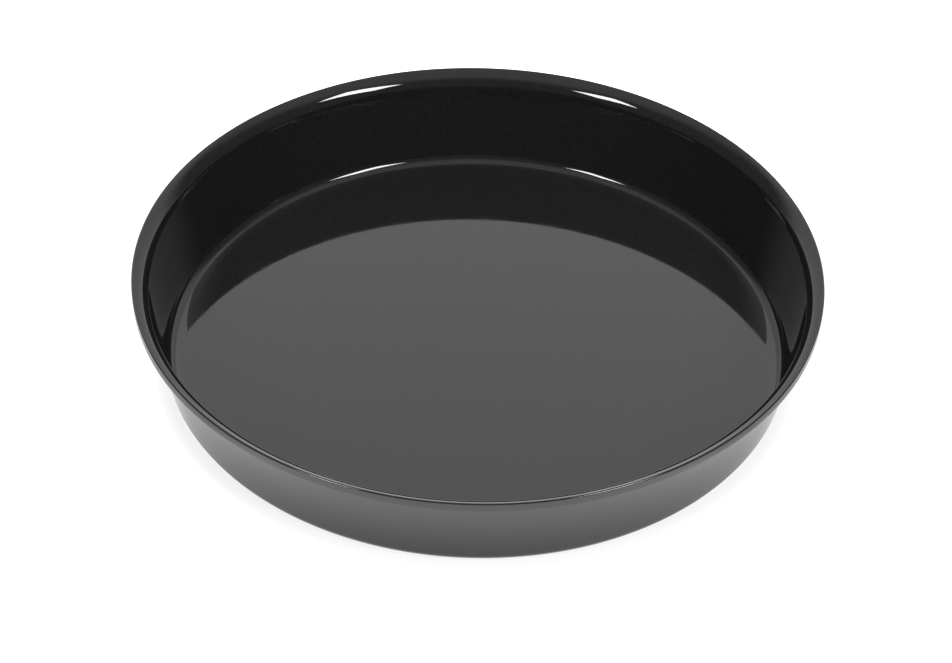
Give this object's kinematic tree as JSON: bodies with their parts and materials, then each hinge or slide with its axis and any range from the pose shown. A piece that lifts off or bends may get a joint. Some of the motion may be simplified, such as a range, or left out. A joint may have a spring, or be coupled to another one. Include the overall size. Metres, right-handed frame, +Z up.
{
  "type": "round baking pan",
  "caption": "Shallow round baking pan of pressed steel coated in glossy black enamel, with a flat base, a leaning wall and a flared lip whose edge is turned down.",
  "frame": {"origin": "on the pan's axis, in the plane that its flat base stands on", "axes": "+Z up along the pan's axis; the pan is the same all round, so +X and +Y are any two level directions"},
  "size_m": [0.35, 0.35, 0.0529],
  "materials": {
    "sheet_steel": "drawn low-carbon steel sheet, pickled matt grey; hidden under the enamel",
    "inside_enamel": "glossy black vitreous enamel",
    "outside_enamel": "glossy black vitreous enamel"
  },
  "bodies": {
    "root": {"steel_pressing": "sheet_steel", "inside_enamel": "inside_enamel", "outside_enamel": "outside_enamel"}
  },
  "joints": []
}
